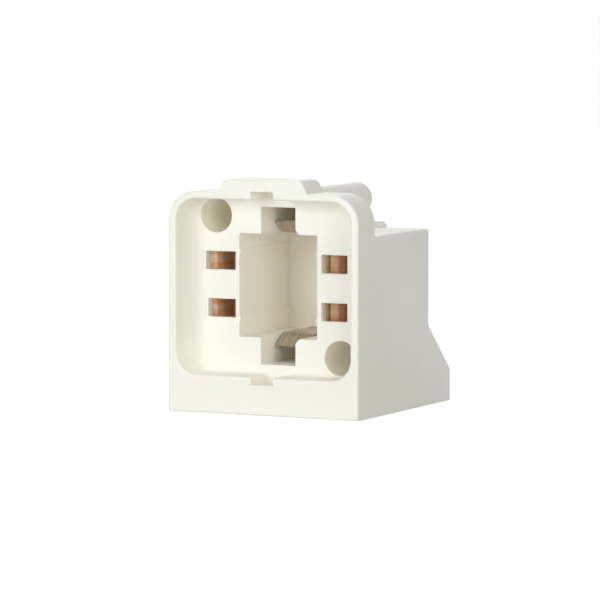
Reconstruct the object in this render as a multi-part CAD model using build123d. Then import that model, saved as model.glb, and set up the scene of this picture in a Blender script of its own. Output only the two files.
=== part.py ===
from build123d import *
import os

# Four-pin lamp socket for a plug-in fluorescent lamp, in millimetres.
# X is across the holder, the lamp goes in along +Y, and Z is up from the base it stands on.
# Heights are Z. Depths are measured back from the front face, so a depth of 0 is the front.

# The lamp's own standard sizes, which the rest is measured against
pin_span = 23.0
pin_pitch = 8.0
lamp_axis_height = 21.2

# Housing, outside
body_width = 35.4
total_depth = 36.9
frame_height = 37.15
frame_depth = 6.3
frame_corner = 5.0
crest_height = 39.3
crest_base_half = 8.3
crest_top_half = 7.2
crest_corner = 1.3
deck_height = 30.1
body_depth = 28.0
edge_round = 0.45
deck_round = 0.5

# Foot and post, which both end at the rear plane
foot_height = 5.55
foot_plate = 2.6
gusset_top = 13.75
gusset_wall = 1.5
gusset_round = 0.5
foot_hole_radius = 1.8
foot_hole_half_span = 9.5
foot_hole_depth = 32.4
post_radius = 2.8
post_height = 34.3
post_chamfer = 0.3
post_bore_radius = 1.2
post_bore_depth = 9.0

# Recess that takes the lamp's base
recess_half_width = 16.2
recess_bottom = 6.4
recess_top = 35.9
recess_corner = 3.7
recess_depth = 6.0
recess_fillet = 0.6
web = 1.6
web_inset = 1.2

# Notches in the recess wall that locate the lamp's latches
notch_half_width = 2.1
top_notch_height = 37.3
bottom_notch_height = 5.1
notch_fillet = 0.8

# Keyed cavity for the lamp's spigot
cavity_half_width = 7.28
cavity_half_height = 8.72
cavity_end = 24.7
keyway_half_width = 3.24
keyway_half_height = 13.25
keyway_wall = 1.35
keyway_chamfer = 0.75
guide_offset = 5.65
guide_width = 0.8
guide_proud = 0.2
back_wall = 1.5

# Contact slots and the chambers behind them. Each slot's outer end is by its side and level.
slot_inner = 8.0
slot_outer = {(-1, 1): 13.66, (-1, -1): 13.2, (1, 1): 12.8, (1, -1): 12.8}
slot_height = 3.12
slot_margin = 0.5
slot_relief = 0.12
chamber_inner = 7.97
chamber_outer = 15.7
chamber_divider = 0.9
chamber_height = 7.3

# Screw bosses on the diagonal, and the cored space around the lower one
screw_offset = 11.6
screw_head_radius = 2.95
screw_shank_radius = 1.7
screw_seat_depth = 25.0
boss_radius = 4.1
pocket_ceiling = 1.3
rib_half_width = 0.6

# Rear cover
cover_depth = 26.2
cover_half_width = 16.1
cover_bottom = 12.95
cover_top = 29.15
cover_gap = 0.1
cover_corner = 0.4
tab_right = 9.7
tab_left = -6.9
tab_height = 31.1
tab_corner = 1.0
entry_offset = 10.2
entry_pitch = 3.8
entry_radius = 1.25
entry_funnel = 0.35
rivet_radius = 1.1
rivet_root = 1.0
rivet_head_radius = 1.8
rivet_head_height = 0.7
rivet_head_chamfer = 0.45
rivet_half_span = 3.4

# Contacts: depths along the strip, and how far its two leaves stand from the pin's axis
contact_thickness = 0.4
leaf_width = 5.4
leaf_front = 8.0
leaf_lead = 8.8
leaf_nose = 9.8
outer_leaf_front = 8.4
outer_leaf_flare = 3.4
grip_offset = 1.2
inner_grip_end = 14.0
outer_grip_end = 15.6
leaf_root = 18.0
lead_round = 0.5
nose_round = 2.0
grip_round = 2.5
root_round = 1.2
terminal_width = 6.8
tongue_width = 2.5
tongue_root = 25.6
tongue_step = 0.7
tongue_tip = 21.6
tongue_clearance = 0.3

# Lamp retaining springs
spring_thickness = 0.35
spring_half_width = 3.1
spring_nose_depth = 11.1
spring_ramp_depth = 13.7
spring_nose_offset = 10.6
spring_run_offset = 8.62
spring_ramp_round = 3.0
spring_heel_round = 0.3
spring_tab_height = 3.2
strip_gap = 0.05

# How far a cut runs past the face it opens, so that the two never lie in one plane
clear = 1.0

front_y = -total_depth / 2
lower_chamber_bottom = lamp_axis_height - chamber_divider / 2 - chamber_height
upper_chamber_bottom = lamp_axis_height + chamber_divider / 2
body_half = body_width / 2
side_pocket_half = body_half - gusset_wall


def y_at(depth):
    """Y of a depth behind the front face."""
    return front_y + depth


def front_view(depth):
    """Plane at a depth, seen from the front: sketch x is X and sketch y is Z."""
    return Plane(origin=(0, y_at(depth), 0), x_dir=(1, 0, 0), z_dir=(0, -1, 0))


def drawn(sketch, start, end):
    """Extrude a front-view sketch along the mould's draw, from one depth to a deeper one."""
    return extrude(front_view(start) * sketch, amount=start - end)


def window(x_low, x_high, z_low, z_high, corner=0.0):
    """Front-view rectangle between its edges, with optional round corners."""
    size = (x_high - x_low, z_high - z_low)
    face = RectangleRounded(*size, corner) if corner else Rectangle(*size)
    return Pos((x_low + x_high) / 2, (z_low + z_high) / 2) * face


def disc(x, z, radius):
    """Front-view circle."""
    return Pos(x, z) * Circle(radius)


def frame_outline():
    """Front frame with its round upper corners and the low crest above it."""
    plate = window(-body_half, body_half, 0, frame_height)
    plate = fillet(plate.vertices().group_by(Axis.Y)[-1], frame_corner)
    crest = make_face(
        Polyline(
            (-crest_base_half, frame_height),
            (crest_base_half, frame_height),
            (crest_top_half, crest_height),
            (-crest_top_half, crest_height),
            close=True,
        )
    )
    crest = fillet(crest.vertices().group_by(Axis.Y)[-1], crest_corner)
    neck = window(-crest_base_half, crest_base_half, recess_top, frame_height)
    return plate + crest + neck


def recess_cutter():
    """Rounded pocket for the lamp's base, with a soft corner where its walls meet the floor."""
    outline = window(-recess_half_width, recess_half_width, recess_bottom, recess_top, recess_corner)
    pocket = drawn(outline, 0, recess_depth)
    return fillet(pocket.edges().group_by(Axis.Y)[-1], recess_fillet)


def front_frame():
    """Frame around the recess, with every front edge rounded."""
    frame = drawn(frame_outline(), 0, frame_depth) - recess_cutter()
    return fillet(frame.edges().group_by(Axis.Y)[0], edge_round)


def body_profile():
    """Side view of the body: deck, rear face and the foot's sloping gusset."""
    outline = FilletPolyline(
        (y_at(frame_depth / 2), 0),
        (y_at(total_depth), 0),
        (y_at(total_depth), foot_height),
        (y_at(body_depth), gusset_top),
        (y_at(body_depth), deck_height),
        (y_at(frame_depth / 2), deck_height),
        radius=[0, 0, gusset_round, gusset_round, deck_round, 0],
        close=True,
    )
    return Plane.YZ * make_face(outline)


def solid_body():
    """Block behind the frame, before it is hollowed. The round runs on down the rear edges."""
    block = extrude(body_profile(), amount=body_half, both=True)
    deck_edges = block.edges().filter_by(Axis.Y).group_by(Axis.Z)[-1]
    return fillet(deck_edges, deck_round)


def web_plate():
    """Floor of the recess where it stands above the deck, set in from the frame's outline."""
    half = body_half - web_inset
    plate = window(-half, half, recess_bottom, frame_height - web_inset)
    plate = fillet(plate.vertices().group_by(Axis.Y)[-1], frame_corner - web_inset)
    return drawn(plate, recess_depth, recess_depth + web)


def keyway_casing():
    """Wall around the upper keyway, on top of the deck."""
    half = keyway_half_width + keyway_wall
    top = lamp_axis_height + keyway_half_height + keyway_wall
    outline = window(-half, half, deck_height - clear, top)
    outline = fillet(outline.vertices().group_by(Axis.Y)[-1], deck_round)
    return drawn(outline, recess_depth, cavity_end + back_wall)


def post():
    """Steady post along the top, out to the rear plane."""
    rod = drawn(disc(0, post_height, post_radius), recess_depth, total_depth)
    return chamfer(rod.edges().group_by(Axis.Y)[-1], post_chamfer)


def spigot_outline():
    """Cavity with its two keyways; two corners are eased and two guide ribs stand on each side."""
    axis = lamp_axis_height
    cavity = window(
        -cavity_half_width, cavity_half_width, axis - cavity_half_height, axis + cavity_half_height
    )
    keyways = window(
        -keyway_half_width, keyway_half_width, axis - keyway_half_height, axis + keyway_half_height
    )
    for level in (-1, 1):
        corner = axis + level * cavity_half_height
        keyways += make_face(
            Polyline(
                (keyway_half_width, corner + level * keyway_chamfer),
                (keyway_half_width + keyway_chamfer, corner),
                (keyway_half_width, corner - level * keyway_chamfer),
                close=True,
            )
        )
    outline = cavity + keyways
    for side in (-1, 1):
        for level in (-1, 1):
            rib = Rectangle(2 * guide_proud, guide_width)
            outline -= Pos(side * cavity_half_width, axis + level * guide_offset) * rib
    return outline


def slots():
    """The four contact slots with the shallow relief around each."""
    openings = Part()
    for (side, level), outer in slot_outer.items():
        low, high = sorted((side * slot_inner, side * outer))
        middle = lamp_axis_height + level * pin_pitch / 2
        half = slot_height / 2
        rim = half + slot_margin
        slot = window(low, high, middle - half, middle + half)
        relief = window(low - slot_margin, high + slot_margin, middle - rim, middle + rim)
        openings += drawn(slot, recess_depth - clear, recess_depth + web + clear)
        openings += drawn(relief, recess_depth - clear, recess_depth + slot_relief)
    return openings


def chambers():
    """Four pockets for the contacts, open to the rear."""
    pockets = Part()
    for side in (-1, 1):
        low, high = sorted((side * chamber_inner, side * chamber_outer))
        for bottom in (lower_chamber_bottom, upper_chamber_bottom):
            pocket = window(low, high, bottom, bottom + chamber_height)
            pockets += drawn(pocket, recess_depth + web, cover_depth + clear)
    return pockets


def screw_wells():
    """Wells for the screw heads from the front, with the shank holes through to the rear."""
    wells = Part()
    for side in (-1, 1):
        x, z = side * screw_offset, lamp_axis_height - side * screw_offset
        wells += drawn(disc(x, z, screw_head_radius), recess_depth - clear, screw_seat_depth)
        wells += drawn(disc(x, z, screw_shank_radius), screw_seat_depth, body_depth + clear)
    return wells


def notches():
    """Latch notches in the top and bottom walls of the recess."""
    half = notch_half_width
    top = drawn(window(-half, half, recess_top - clear, top_notch_height), -clear, recess_depth)
    bottom = window(-half, half, bottom_notch_height, recess_bottom + clear)
    bottom = drawn(bottom, -clear, recess_depth)
    back = bottom.edges().filter_by(Axis.X).group_by(Axis.Y)[-1].sort_by(Axis.Z)[0]
    return top + fillet(back, notch_fillet)


def lower_pockets():
    """Cored space under the chambers, open to the rear, around the keyway and the lower boss."""
    ceiling = lower_chamber_bottom - pocket_ceiling
    inner = keyway_half_width + keyway_wall
    boss_z = lamp_axis_height - screw_offset
    middle_rib = -(inner + side_pocket_half) / 2
    left = window(-side_pocket_half, middle_rib - rib_half_width, foot_plate, ceiling)
    centre = window(middle_rib + rib_half_width, inner, foot_plate, ceiling)
    keyway_floor = lamp_axis_height - keyway_half_height - keyway_wall
    centre -= window(-inner, inner, keyway_floor, ceiling)
    right = window(inner, side_pocket_half, foot_plate, ceiling)
    right -= disc(screw_offset, boss_z, boss_radius)
    right -= window(screw_offset, side_pocket_half, boss_z, ceiling)
    boss_rib = (screw_offset - rib_half_width, screw_offset + rib_half_width)
    right -= window(*boss_rib, foot_plate, boss_z)
    return drawn(left + centre + right, recess_depth + web, body_depth)


def foot_space():
    """Open space over the foot plate, between the two gussets."""
    opening = window(-side_pocket_half, side_pocket_half, foot_plate, deck_height)
    return drawn(opening, body_depth, total_depth + clear)


def cover_seat():
    """Pocket that the rear cover drops into, with the gap in the deck for its tab."""
    seat = window(-cover_half_width, cover_half_width, cover_bottom, cover_top)
    tab_gap = (tab_left - cover_gap, tab_right + cover_gap)
    seat += window(*tab_gap, cover_top, deck_height + clear)
    return drawn(seat, cover_depth, body_depth + clear)


def spring_seats():
    """Slits in the cavity's back wall for the two retaining springs, and the beds of their tabs."""
    seats = Part()
    half = spring_half_width + strip_gap
    reach = spring_thickness / 2 + strip_gap
    for level in (-1, 1):
        run = lamp_axis_height + level * spring_run_offset
        slit = window(-half, half, run - reach, run + reach)
        seats += drawn(slit, cavity_end - clear, cover_depth + clear)
        ends = sorted((run + level * reach, run - level * (spring_tab_height + strip_gap)))
        bed = window(-half, half, *ends)
        seats += drawn(bed, cover_depth - spring_thickness - strip_gap, cover_depth + clear)
    return seats


def rivets():
    """Two pegs of the housing that pass through the rear cover and are spread over it."""
    pegs = Part()
    for level in (-1, 1):
        height = lamp_axis_height + level * rivet_half_span
        pegs += drawn(disc(0, height, rivet_radius), cover_depth - rivet_root, body_depth)
        head = drawn(disc(0, height, rivet_head_radius), body_depth, body_depth + rivet_head_height)
        pegs += chamfer(head.edges().group_by(Axis.Y)[-1], rivet_head_chamfer)
    return pegs


def housing():
    """The one-piece moulded housing."""
    upper_boss = disc(-screw_offset, lamp_axis_height + screw_offset, boss_radius)
    lower_boss = disc(screw_offset, lamp_axis_height - screw_offset, boss_radius)
    post_bore = disc(0, post_height, post_bore_radius)
    body = front_frame() + solid_body() + web_plate() + keyway_casing() + post()
    body += drawn(upper_boss, recess_depth, body_depth)
    body -= recess_cutter()
    body -= foot_space()
    body -= lower_pockets()
    body += drawn(lower_boss, recess_depth + web, body_depth)
    body -= drawn(spigot_outline(), recess_depth - clear, cavity_end)
    body -= slots() + chambers() + notches()
    body -= screw_wells()
    body -= cover_seat()
    body -= spring_seats()
    body -= drawn(post_bore, total_depth - post_bore_depth, total_depth)
    for side in (-1, 1):
        hole = Cylinder(foot_hole_radius, 3 * foot_plate)
        body -= Pos(side * foot_hole_half_span, y_at(foot_hole_depth), 0) * hole
    return body + rivets()


def rear_cover():
    """Moulded plate that closes the chambers; its tab stands above the deck."""
    half = cover_half_width - cover_gap
    plate = window(-half, half, cover_bottom + cover_gap, cover_top - cover_gap, cover_corner)
    tab = window(tab_left, tab_right, cover_top - 2 * tab_corner, tab_height)
    tab = fillet(tab.vertices().group_by(Axis.Y)[-1], tab_corner)
    cover = drawn(plate + tab, cover_depth, body_depth)
    for level in (-1, 1):
        peg_hole = disc(0, lamp_axis_height + level * rivet_half_span, rivet_radius + cover_gap)
        cover -= drawn(peg_hole, cover_depth, body_depth)
        chamber = lamp_axis_height + level * (chamber_divider + chamber_height) / 2
        for side in (-1, 1):
            for row in (-1, 1):
                centre = (side * entry_offset, y_at(body_depth), chamber + row * entry_pitch / 2)
                cover -= Pos(*centre) * wire_entry()
    return cover


def wire_entry():
    """Funnel-mouthed hole for one push-in wire, with its mouth at the origin, facing the rear."""
    mouth = entry_radius + entry_funnel
    end = cover_depth - body_depth - clear
    profile = make_face(
        Polyline((0, 0), (mouth, 0), (entry_radius, -entry_funnel), (entry_radius, end), (0, end),
                 close=True)
    )
    return revolve(profile, Axis.Y)


def strip(points, radii, width, thickness, across):
    """Metal strip bent along a path; across is the direction of the strip's width."""
    path = FilletPolyline(*points, radius=radii)
    section = Plane(origin=path @ 0, x_dir=across, z_dir=path % 0) * Rectangle(width, thickness)
    return sweep(section, path=path)


def contact(side, level):
    """One contact: two leaves with round noses that grip the lamp's pin, on a folded terminal with
    two tongues that bite the wires."""
    bottom = upper_chamber_bottom if level > 0 else lower_chamber_bottom
    middle = bottom + (chamber_height + level * (chamber_height - terminal_width)) / 2
    half = contact_thickness / 2
    inner_wall = chamber_inner + half
    outer_wall = chamber_outer - strip_gap - half
    pin = pin_span / 2
    inner_grip = pin - grip_offset
    outer_grip = pin + grip_offset

    def bend(points, radii, width, height):
        placed = [(side * x, y_at(depth), height) for x, depth in points]
        return strip(placed, radii, width, contact_thickness, (0, 0, 1))

    inner_leaf = [(inner_wall, leaf_front), (inner_wall, leaf_lead), (inner_grip, leaf_nose),
                  (inner_grip, inner_grip_end), (inner_wall, leaf_root), (inner_wall, cover_depth)]
    outer_leaf = [(pin + outer_leaf_flare, outer_leaf_front), (outer_grip, leaf_nose),
                  (outer_grip, outer_grip_end), (outer_wall, leaf_root + root_round),
                  (outer_wall, cover_depth)]
    piece = bend(inner_leaf, [lead_round, nose_round, grip_round, root_round], leaf_width, middle)
    piece += bend(outer_leaf, [nose_round, grip_round, root_round], leaf_width, middle)

    terminal_depth = cover_depth - leaf_root
    terminal_y = y_at(cover_depth - terminal_depth / 2)
    fold_width = outer_wall - inner_wall + contact_thickness
    fold_height = middle + level * (terminal_width - contact_thickness) / 2
    fold = Box(fold_width, terminal_depth, contact_thickness)
    piece += Pos(side * (inner_wall + outer_wall) / 2, terminal_y, fold_height) * fold
    for x in (inner_wall, outer_wall):
        wall = Box(contact_thickness, terminal_depth, terminal_width)
        piece += Pos(side * x, terminal_y, middle) * wall

    tongue = [(outer_wall, tongue_root), (outer_wall - tongue_step, tongue_root),
              (entry_offset + tongue_clearance, tongue_tip)]
    for row in (-1, 1):
        piece += bend(tongue, [lead_round], tongue_width, middle + row * entry_pitch / 2)
    return piece


def retaining_spring(level):
    """Bent leaf in a keyway that holds the lamp's spigot; its rear end is folded over the wall."""
    rear = cover_depth - spring_thickness / 2
    profile = [(spring_nose_depth, spring_nose_offset),
               (spring_ramp_depth, spring_run_offset),
               (rear, spring_run_offset),
               (rear, spring_run_offset - spring_tab_height)]
    points = [(0, y_at(depth), lamp_axis_height + level * offset) for depth, offset in profile]
    rounds = [spring_ramp_round, spring_heel_round]
    return strip(points, rounds, 2 * spring_half_width, spring_thickness, (1, 0, 0))


def sub_parts():
    """Every separate piece by its name."""
    pieces = {"housing": housing(), "rear_cover": rear_cover()}
    for level, height_word in ((1, "upper"), (-1, "lower")):
        pieces[f"retaining_spring_{height_word}"] = retaining_spring(level)
        for side, side_word in ((-1, "left"), (1, "right")):
            pieces[f"contact_{height_word}_{side_word}"] = contact(side, level)
    return pieces


os.makedirs("parts", exist_ok=True)
for name, piece in sub_parts().items():
    export_step(piece, f"parts/{name}.step")
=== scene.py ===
# Portrait of a four-pin lamp socket: a white moulded holder for a plug-in fluorescent lamp.
import math
import bpy
import bmesh
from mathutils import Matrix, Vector

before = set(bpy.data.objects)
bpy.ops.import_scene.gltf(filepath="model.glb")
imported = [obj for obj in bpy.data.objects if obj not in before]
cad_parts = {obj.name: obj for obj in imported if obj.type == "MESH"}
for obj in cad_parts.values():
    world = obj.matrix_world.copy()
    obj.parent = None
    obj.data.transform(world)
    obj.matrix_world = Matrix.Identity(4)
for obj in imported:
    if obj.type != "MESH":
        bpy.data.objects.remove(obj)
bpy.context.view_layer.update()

# The camera stands low and a little to the right of the holder's front, as the photographer's did,
# with a long lens a good arm's length away. It looks at a point just before the cavity's mouth.
camera_azimuth = math.radians(26.468)
camera_elevation = math.radians(4.897)
camera_distance = 0.69196
camera_target = Vector((0.004947, -0.01417, 0.019239))
film_width_mm = 36.0
lens_mm = 249.85
nearest_seen, farthest_seen = 0.01, 20.0
towards_camera = Vector((
    math.sin(camera_azimuth) * math.cos(camera_elevation),
    -math.cos(camera_azimuth) * math.cos(camera_elevation),
    math.sin(camera_elevation),
))
camera = bpy.data.objects.new("camera", bpy.data.cameras.new("camera"))
bpy.context.scene.collection.objects.link(camera)
camera.data.sensor_width = film_width_mm
camera.data.lens = lens_mm
camera.data.clip_start = nearest_seen
camera.data.clip_end = farthest_seen
camera.location = camera_target + towards_camera * camera_distance
camera.rotation_mode = "QUATERNION"
camera.rotation_quaternion = (-towards_camera).to_track_quat("-Z", "Y")
bpy.context.scene.camera = camera

# The studio: a white table under an even white tent. The tent looks pure white to the lens and
# in the metal, and lights the holder more softly than it looks.
tent_light = 0.225
tent_white = 1.0
tent_colour = (1.0, 1.0, 1.0, 1.0)


def sees_background(nodes, links):
    """Socket that is 1 for rays from the lens, and for those off gloss and through glass."""
    path = nodes.new("ShaderNodeLightPath")
    either = nodes.new("ShaderNodeMath")
    either.operation = "MAXIMUM"
    links.new(path.outputs["Is Camera Ray"], either.inputs[0])
    links.new(path.outputs["Is Glossy Ray"], either.inputs[1])
    every = nodes.new("ShaderNodeMath")
    every.operation = "MAXIMUM"
    links.new(either.outputs[0], every.inputs[0])
    links.new(path.outputs["Is Transmission Ray"], every.inputs[1])
    return every.outputs[0]


tent = bpy.data.worlds.new("white_tent")
tent.use_nodes = True
bpy.context.scene.world = tent
tent_nodes, tent_links = tent.node_tree.nodes, tent.node_tree.links
strength = tent_nodes.new("ShaderNodeMapRange")
strength.inputs["To Min"].default_value = tent_light
strength.inputs["To Max"].default_value = tent_white
tent_links.new(sees_background(tent_nodes, tent_links), strength.inputs["Value"])
tent_nodes["Background"].inputs["Color"].default_value = tent_colour
tent_links.new(strength.outputs["Result"], tent_nodes["Background"].inputs["Strength"])

# The table is a wide white sheet. It glows just enough to read as white to the lens, and still
# takes the holder's soft shadow.
table_half = 4.0
table_shadow_colour = (0.30, 0.30, 0.30, 1.0)
table_bounce_colour = (0.80, 0.80, 0.79, 1.0)
table_glow = 0.92
table_mesh = bpy.data.meshes.new("table_top")
table_form = bmesh.new()
bmesh.ops.create_grid(table_form, x_segments=1, y_segments=1, size=table_half)
table_form.to_mesh(table_mesh)
table_form.free()
table = bpy.data.objects.new("table_top", table_mesh)
bpy.context.scene.collection.objects.link(table)
table_paint = bpy.data.materials.new("white_table")
table_paint.use_nodes = True
paint_nodes, paint_links = table_paint.node_tree.nodes, table_paint.node_tree.links
paint_nodes.clear()
seen = paint_nodes.new("ShaderNodeBsdfDiffuse")
seen.inputs["Color"].default_value = table_shadow_colour
glow = paint_nodes.new("ShaderNodeEmission")
glow.inputs["Strength"].default_value = table_glow
bright = paint_nodes.new("ShaderNodeAddShader")
paint_links.new(seen.outputs[0], bright.inputs[0])
paint_links.new(glow.outputs[0], bright.inputs[1])
bounce = paint_nodes.new("ShaderNodeBsdfDiffuse")
bounce.inputs["Color"].default_value = table_bounce_colour
choose = paint_nodes.new("ShaderNodeMixShader")
paint_links.new(sees_background(paint_nodes, paint_links), choose.inputs["Fac"])
paint_links.new(bounce.outputs[0], choose.inputs[1])
paint_links.new(bright.outputs[0], choose.inputs[2])
paint_output = paint_nodes.new("ShaderNodeOutputMaterial")
paint_links.new(choose.outputs[0], paint_output.inputs["Surface"])
table.data.materials.append(table_paint)


# Four soft lamps light the holder. One is low on the right and reaches the left walls of the
# recess and the cavity. One is near the front and lights the face, and leaves the cavity's back
# wall in half shade. Two are high, over the front and behind, for the deck and the rear cover.
lamp_colour = (0.97, 1.0, 0.985)


def soft_lamp(name, azimuth, elevation, distance, size, power):
    """Square soft lamp that faces the holder; angles are those of the camera, in degrees."""
    a, e = math.radians(azimuth), math.radians(elevation)
    towards = Vector((math.sin(a) * math.cos(e), -math.cos(a) * math.cos(e), math.sin(e)))
    lamp = bpy.data.objects.new(name, bpy.data.lights.new(name, "AREA"))
    lamp.data.size = size
    lamp.data.energy = power
    lamp.data.color = lamp_colour
    lamp.location = camera_target + towards * distance
    lamp.rotation_mode = "QUATERNION"
    lamp.rotation_quaternion = (-towards).to_track_quat("-Z", "Y")
    bpy.context.scene.collection.objects.link(lamp)


soft_lamp("right_lamp", azimuth=48.0, elevation=10.0, distance=0.9, size=0.4, power=2.4)
soft_lamp("front_lamp", azimuth=-14.0, elevation=12.0, distance=0.5, size=0.25, power=0.95)
soft_lamp("top_lamp", azimuth=10.0, elevation=78.0, distance=0.9, size=0.5, power=1.25)
soft_lamp("rear_lamp", azimuth=215.0, elevation=40.0, distance=0.9, size=0.4, power=2.2)

# White plastic passes light on many times in a deep pocket. That makes the wells and the keyed
# cavity glow warm, and lights the contacts in their chambers, so each ray is followed that far.
pocket_bounces = 10
other_bounces = 6
bpy.context.scene.cycles.diffuse_bounces = pocket_bounces
bpy.context.scene.cycles.glossy_bounces = pocket_bounces
bpy.context.scene.cycles.max_bounces = pocket_bounces + other_bounces

# Housing: one white thermoplastic moulding, satin from the tool, a little translucent, so that
# its deep pockets glow warm. The colour drifts very slightly with the melt's flow.
plastic_light = (0.970, 0.946, 0.873, 1.0)
plastic_warm = (0.964, 0.932, 0.848, 1.0)
plastic_roughness = (0.38, 0.48)
plastic_ior = 1.5
plastic_gloss = 0.4
plastic_glow = 0.25
plastic_glow_reach = (1.0, 0.9, 0.7)
plastic_glow_depth = 0.0008
flow_scale = 90.0
grain_scale = 3200.0
grain_height = 0.000004
grain_strength = 0.35


def bare_finish(name):
    """New node material with its shader: returns the material, its nodes, links and shader."""
    finish = bpy.data.materials.new(name)
    finish.use_nodes = True
    nodes, links = finish.node_tree.nodes, finish.node_tree.links
    return finish, nodes, links, nodes["Principled BSDF"]


def noise(nodes, links, place, scale, detail=2.0, roughness=0.5):
    """Noise on the given coordinates."""
    pattern = nodes.new("ShaderNodeTexNoise")
    pattern.inputs["Scale"].default_value = scale
    pattern.inputs["Detail"].default_value = detail
    pattern.inputs["Roughness"].default_value = roughness
    links.new(place, pattern.inputs["Vector"])
    return pattern.outputs["Fac"]


def blended(nodes, links, factor, low, high):
    """Colour that runs from low to high as the factor goes from 0 to 1."""
    mix = nodes.new("ShaderNodeMix")
    mix.data_type = "RGBA"
    links.new(factor, mix.inputs["Factor"])
    mix.inputs["A"].default_value = low
    mix.inputs["B"].default_value = high
    return mix.outputs["Result"]


def ranged(nodes, links, factor, low, high, start=0.35, end=0.65):
    """Number that runs from low to high as the factor goes from start to end."""
    spread = nodes.new("ShaderNodeMapRange")
    spread.inputs["From Min"].default_value = start
    spread.inputs["From Max"].default_value = end
    spread.inputs["To Min"].default_value = low
    spread.inputs["To Max"].default_value = high
    links.new(factor, spread.inputs["Value"])
    return spread.outputs["Result"]


def moulded_plastic(name, light, warm):
    """Satin white moulding: flow-drifted colour and gloss, and the tool's fine grain."""
    finish, nodes, links, shader = bare_finish(name)
    place = nodes.new("ShaderNodeTexCoord").outputs["Object"]
    flow = noise(nodes, links, place, flow_scale, detail=3.0)
    links.new(blended(nodes, links, flow, light, warm), shader.inputs["Base Color"])
    links.new(ranged(nodes, links, flow, *plastic_roughness), shader.inputs["Roughness"])
    grain = nodes.new("ShaderNodeBump")
    grain.inputs["Strength"].default_value = grain_strength
    grain.inputs["Distance"].default_value = grain_height
    links.new(noise(nodes, links, place, grain_scale, detail=2.0), grain.inputs["Height"])
    links.new(grain.outputs["Normal"], shader.inputs["Normal"])
    shader.inputs["IOR"].default_value = plastic_ior
    shader.inputs["Specular IOR Level"].default_value = plastic_gloss
    shader.inputs["Subsurface Weight"].default_value = plastic_glow
    shader.inputs["Subsurface Radius"].default_value = plastic_glow_reach
    shader.inputs["Subsurface Scale"].default_value = plastic_glow_depth
    return finish


def finish_node(name, finish):
    """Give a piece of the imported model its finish."""
    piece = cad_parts[name]
    piece.data.materials.clear()
    piece.data.materials.append(finish)


finish_node("housing", moulded_plastic("housing_plastic", plastic_light, plastic_warm))

# Rear cover: the same plastic from another tool, a shade warmer. It is fixed by two spread pegs,
# closes the contact chambers from behind, and takes the wires in through eight entries.
cover_light = (0.966, 0.940, 0.864, 1.0)
cover_warm = (0.958, 0.924, 0.836, 1.0)
finish_node("rear_cover", moulded_plastic("cover_plastic", cover_light, cover_warm))

# Contacts: bent strips of phosphor bronze, cut and formed from a rolled coil. The rolling leaves
# streaks along each strip. The noses behind the slots, which the lamps light straight on, are
# painted darker as painted shade; the leaves deeper in their shaded chambers keep the bright
# colour.
bronze_bright = (0.980, 0.860, 0.660, 1.0)
bronze_orange = (0.930, 0.440, 0.150, 1.0)
bronze_metal = 0.3
bronze_roughness = (0.30, 0.42)
bronze_lines = (60.0, 60.0, 1300.0)
# Painted shade: this tint darkens the strips' fronts between the two depths below, where the lamps
# light them directly.
nose_painted_shade = (0.620, 0.520, 0.450, 1.0)
painted_shade_front = -0.0095
painted_shade_end = -0.0078
film_weight = 0.5
film_roughness = 0.2
bronze_patches = 420.0
rolling_depth = 0.000006
rolling_strength = 0.4
patch_share = 0.3


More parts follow.
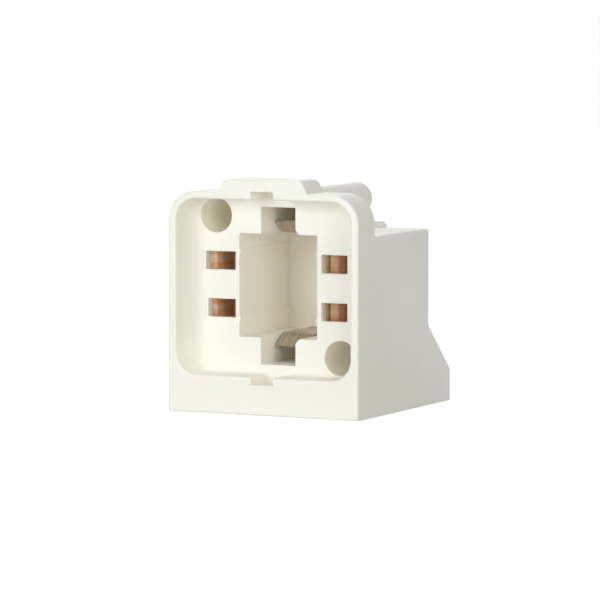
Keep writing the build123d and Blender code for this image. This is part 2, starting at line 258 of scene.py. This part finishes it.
def rolled_strip(name, bright, dull, metal, roughness, lines, patch_scale):
    """Metal strip with rolling lines drawn out along it, and uneven patches of dull colour."""
    finish, nodes, links, shader = bare_finish(name)
    place = nodes.new("ShaderNodeTexCoord").outputs["Object"]
    drawn = nodes.new("ShaderNodeMapping")
    drawn.inputs["Scale"].default_value = lines
    links.new(place, drawn.inputs["Vector"])
    streaks = noise(nodes, links, drawn.outputs["Vector"], 1.0, detail=3.0)
    patches = noise(nodes, links, place, patch_scale, detail=4.0, roughness=0.6)
    both = nodes.new("ShaderNodeMix")
    both.inputs["Factor"].default_value = patch_share
    links.new(streaks, both.inputs["A"])
    links.new(patches, both.inputs["B"])
    spread = ranged(nodes, links, both.outputs["Result"], 0.0, 1.0)
    links.new(blended(nodes, links, spread, bright, dull), shader.inputs["Base Color"])
    links.new(ranged(nodes, links, patches, *roughness), shader.inputs["Roughness"])
    groove = nodes.new("ShaderNodeBump")
    groove.inputs["Strength"].default_value = rolling_strength
    groove.inputs["Distance"].default_value = rolling_depth
    links.new(streaks, groove.inputs["Height"])
    links.new(groove.outputs["Normal"], shader.inputs["Normal"])
    shader.inputs["Metallic"].default_value = metal
    return finish


def paint_shade_on_noses(finish):
    """Darken a strip's colour at its front as painted shade, which fades out behind the slots."""
    nodes, links = finish.node_tree.nodes, finish.node_tree.links
    colour = nodes["Principled BSDF"].inputs["Base Color"]
    depth = nodes.new("ShaderNodeSeparateXYZ")
    links.new(nodes.new("ShaderNodeTexCoord").outputs["Object"], depth.inputs[0])
    nose_shade = nodes.new("ShaderNodeMix")
    nose_shade.data_type = "RGBA"
    nose_shade.blend_type = "MULTIPLY"
    nose_shade.inputs["B"].default_value = nose_painted_shade
    links.new(ranged(nodes, links, depth.outputs["Y"], 1.0, 0.0, painted_shade_front, painted_shade_end),
              nose_shade.inputs["Factor"])
    links.new(colour.links[0].from_socket, nose_shade.inputs["A"])
    links.new(nose_shade.outputs["Result"], colour)


bronze = rolled_strip("contact_bronze", bronze_bright, bronze_orange, bronze_metal,
                      bronze_roughness, bronze_lines, bronze_patches)
paint_shade_on_noses(bronze)
bronze_shader = bronze.node_tree.nodes["Principled BSDF"]
bronze_shader.inputs["Coat Weight"].default_value = film_weight
bronze_shader.inputs["Coat Roughness"].default_value = film_roughness
for height_word in ("upper", "lower"):
    for side_word in ("left", "right"):
        finish_node(f"contact_{height_word}_{side_word}", bronze)

# Retaining springs: bent stainless leaves, one in each keyway, which hold the lamp's spigot by its
# keys. The rolling leaves fine lines along each strip, and dull patches in its colour.
steel_bright = (0.620, 0.560, 0.500, 1.0)
steel_brown = (0.400, 0.340, 0.290, 1.0)
steel_metal = 1.0
steel_roughness = (0.24, 0.36)
steel_lines = (2600.0, 60.0, 60.0)
steel_patches = 300.0
stainless = rolled_strip("spring_steel", steel_bright, steel_brown, steel_metal,
                         steel_roughness, steel_lines, steel_patches)
for height_word in ("upper", "lower"):
    finish_node(f"retaining_spring_{height_word}", stainless)

# The view is shown as it is lit.
bpy.context.scene.view_settings.view_transform = "Standard"
